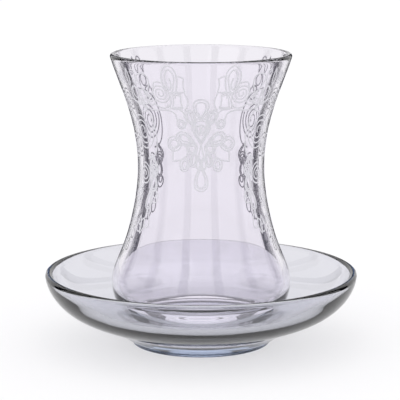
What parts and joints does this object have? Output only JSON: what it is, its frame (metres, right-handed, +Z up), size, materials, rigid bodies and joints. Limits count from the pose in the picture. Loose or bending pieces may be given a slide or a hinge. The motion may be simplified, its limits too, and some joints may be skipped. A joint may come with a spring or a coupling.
{
  "type": "tea glass with saucer",
  "caption": "Slim-waisted clear tea glass with fine white scrollwork, standing on a shallow clear glass saucer.",
  "frame": {"origin": "centre of the saucer's foot, on the table", "axes": "+Z up, along the axis that both pieces are turned about; -Y is the front, where the scrollwork's middle is"},
  "size_m": [0.11, 0.11, 0.1025],
  "materials": {
    "tea_glass": "clear, polished",
    "saucer_glass": "clear, faintly blue, polished"
  },
  "bodies": {
    "root": {"tea_glass": "tea_glass", "saucer": "saucer_glass"}
  },
  "joints": []
}
